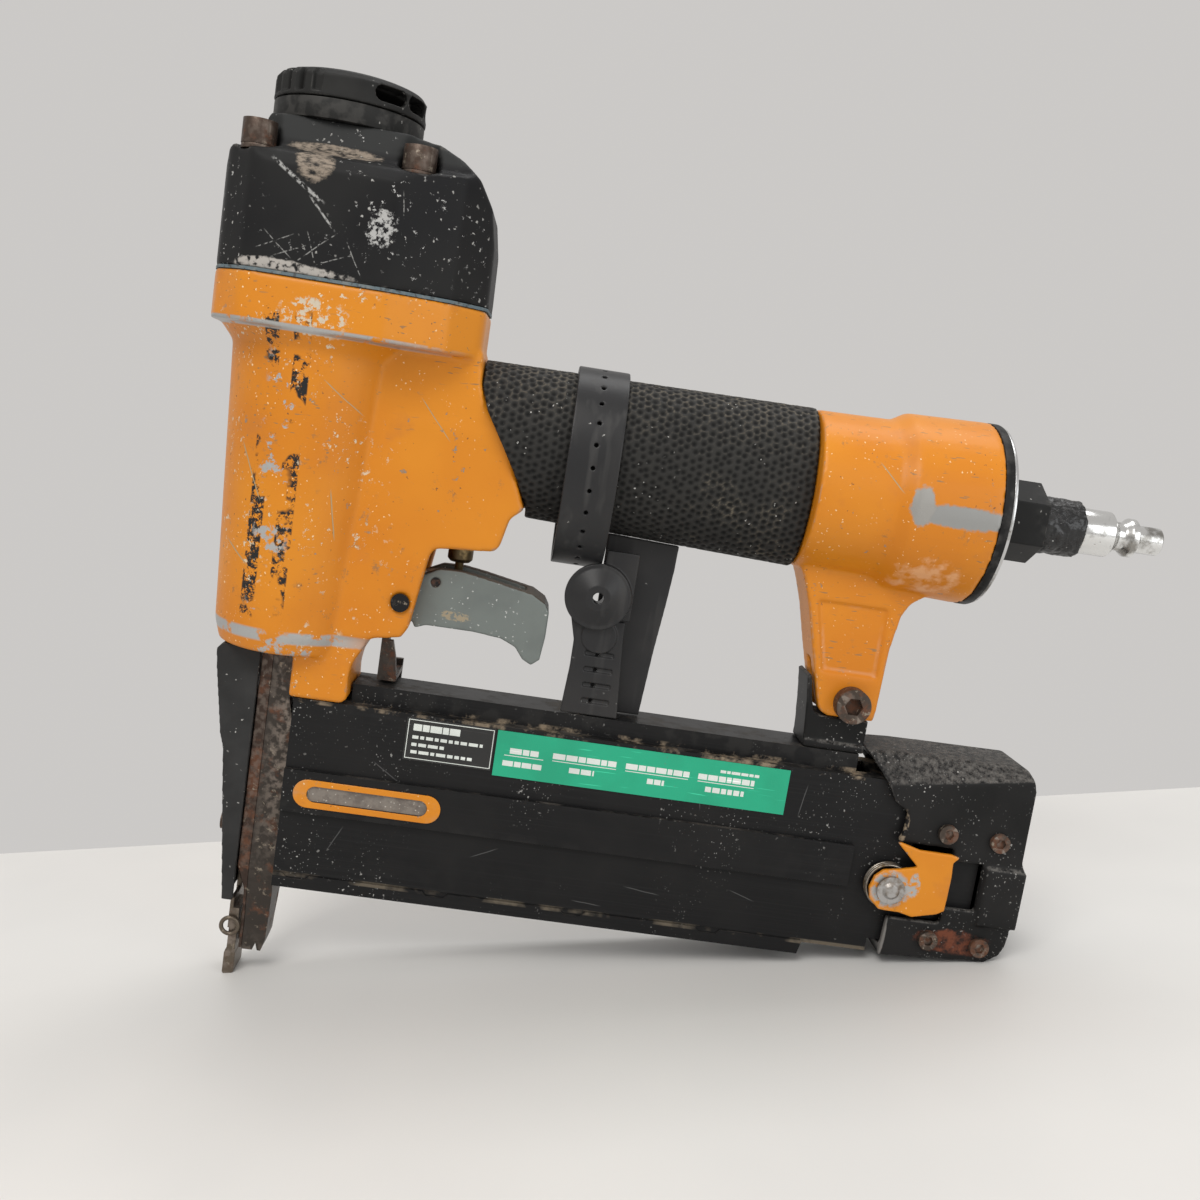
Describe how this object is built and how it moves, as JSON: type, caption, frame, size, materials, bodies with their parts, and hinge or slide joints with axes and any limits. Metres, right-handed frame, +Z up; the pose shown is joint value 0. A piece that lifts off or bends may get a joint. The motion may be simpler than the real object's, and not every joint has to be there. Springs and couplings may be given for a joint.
{
  "type": "brad nailer",
  "caption": "Pneumatic brad nailer with an in-line handle, sliding side magazine, sprung work contact, trigger valve and quick-connect air plug.",
  "frame": {"origin": "on the driver axis, in the plane where the work contact's foot meets the work", "axes": "+Z up along the driver axis towards the cylinder cap, +X to the rear along the handle towards the air plug, +Y across the tool away from the magazine latch"},
  "size_m": [0.268, 0.055, 0.248],
  "materials": {
    "housing_paint": "satin orange paint on a die casting, chipped at the edges",
    "cap_paint": "dark grey paint on a die casting, scuffed",
    "deflector_plastic": "moulded, matt",
    "grip_rubber": "moulded with a pebbled surface",
    "gasket": "fibre sheet",
    "black_screw": "blackened, going rusty",
    "seal_rubber": "moulded",
    "sleeve_aluminium": "machined",
    "tool_steel": "hardened and blackened",
    "inner_plastic": "moulded acetal",
    "spring_steel": "plain, a little rusty",
    "end_cap_paint": "black paint on aluminium",
    "sealed_nipple": "steel pipe covered in black sealant",
    "plated_plug": "bright zinc plate",
    "trigger_plastic": "moulded grey, dust speckled",
    "valve_brass": "turned, tarnished",
    "nose_cover_steel": "black paint on formed steel",
    "magazine_black": "black anodised, dusty and scratched",
    "window_orange": "satin orange paint, worn",
    "window_smoke": "dusty smoked plastic",
    "strap_rubber": "smooth moulded",
    "label_black": "printed foil",
    "label_green": "printed foil"
  },
  "bodies": {
    "root": {"air_plug": "plated_plug", "bracket_nut": "black_screw", "bracket_screw": "black_screw", "cap_gasket": "gasket", "cap_lock_washers": "black_screw", "cap_screws": "black_screw", "cylinder_cap": "cap_paint", "cylinder_sleeve": "sleeve_aluminium", "data_label": "label_green", "deflector_base": "cap_paint", "deflector_screw": "black_screw", "driver_guide": "tool_steel", "end_cap": "end_cap_paint", "end_cap_rim": "spring_steel", "end_cap_ring": "seal_rubber", "fixed_magazine": "magazine_black", "grip_sleeve": "grip_rubber", "head_valve_spring": "spring_steel", "housing": "housing_paint", "inlet_nipple": "sealed_nipple", "latch_rivet": "spring_steel", "latch_spring": "spring_steel", "maker_label": "label_black", "nose_cover": "nose_cover_steel", "nose_cover_screw": "black_screw", "nose_screws": "black_screw", "nosepiece": "tool_steel", "piston_bumper": "seal_rubber", "rear_bracket": "magazine_black", "safety_spring": "spring_steel", "sleeve_seal_rings": "seal_rubber", "strap_back_band": "strap_rubber", "strap_buckle": "strap_rubber", "strap_loop": "strap_rubber", "strap_tail": "strap_rubber", "trigger_pivot_pin": "black_screw", "trigger_valve_body": "valve_brass", "valve_spring": "spring_steel", "window_frame": "window_orange", "window_insert": "window_smoke"},
    "deflector": {"exhaust_deflector": "deflector_plastic"},
    "driver": {"piston": "sleeve_aluminium", "piston_ring": "seal_rubber", "driver_blade": "tool_steel"},
    "head_valve": {"head_valve": "inner_plastic", "head_valve_ring": "seal_rubber"},
    "trigger": {"trigger": "trigger_plastic", "rocker_pin": "spring_steel"},
    "rocker": {"trigger_rocker": "inner_plastic"},
    "valve_stem": {"valve_stem": "valve_brass"},
    "work_contact": {"work_contact": "tool_steel", "contact_wire_loop": "tool_steel", "safety_link": "tool_steel"},
    "magazine_slide": {"moving_magazine": "magazine_black", "magazine_end_casting": "magazine_black", "end_casting_screws": "black_screw"},
    "pusher": {"brad_pusher": "tool_steel", "feed_spring": "spring_steel"},
    "latch": {"latch_lever": "window_orange"}
  },
  "joints": [
    {"name": "deflector_turn", "type": "hinge", "parent": "root", "child": "deflector", "pos_m": [0, 0, 0.2443], "axis": [0, 0, 1], "continuous": true},
    {"name": "driver_stroke", "type": "slide", "parent": "root", "child": "driver", "axis": [0, 0, -1], "range_m": [0, 0.0775]},
    {"name": "head_valve_lift", "type": "slide", "parent": "root", "child": "head_valve", "axis": [0, 0, 1], "range_m": [0, 0.003], "stiffness_N_per_m": 1500, "springref_m": -0.006, "deforming": ["head_valve_spring"]},
    {"name": "trigger_pull", "type": "hinge", "parent": "root", "child": "trigger", "pos_m": [0.031, 0, 0.1159], "axis": [0, -1, 0], "range_deg": [0, 7.5], "stiffness_Nm_per_rad": 0.4, "springref_deg": -14.32},
    {"name": "rocker_tilt", "type": "hinge", "parent": "trigger", "child": "rocker", "pos_m": [0.0392, 0, 0.1218], "axis": [0, 1, 0], "range_deg": [0, 5], "stiffness_Nm_per_rad": 0.05, "springref_deg": -11.46},
    {"name": "stem_travel", "type": "slide", "parent": "root", "child": "valve_stem", "axis": [0, 0, 1], "range_m": [0, 0.0019], "deforming": ["valve_spring"]},
    {"name": "contact_travel", "type": "slide", "parent": "root", "child": "work_contact", "axis": [0, 0, 1], "range_m": [0, 0.006], "stiffness_N_per_m": 400, "springref_m": -0.012, "deforming": ["safety_spring"]},
    {"name": "magazine_open", "type": "slide", "parent": "root", "child": "magazine_slide", "axis": [1, 0, 0], "range_m": [0, 0.13]},
    {"name": "pusher_feed", "type": "slide", "parent": "magazine_slide", "child": "pusher", "axis": [1, 0, 0], "range_m": [0, 0.125], "stiffness_N_per_m": 15, "springref_m": -0.3},
    {"name": "latch_release", "type": "hinge", "parent": "root", "child": "latch", "pos_m": [0.1771, -0.0162, 0.0556], "axis": [0, -1, 0], "range_deg": [0, 8], "stiffness_Nm_per_rad": 0.2, "springref_deg": -17.19}
  ],
  "couplings": [
    {"joint": "stem_travel", "follows": "trigger_pull", "m_per_rad": 0.0145}
  ]
}
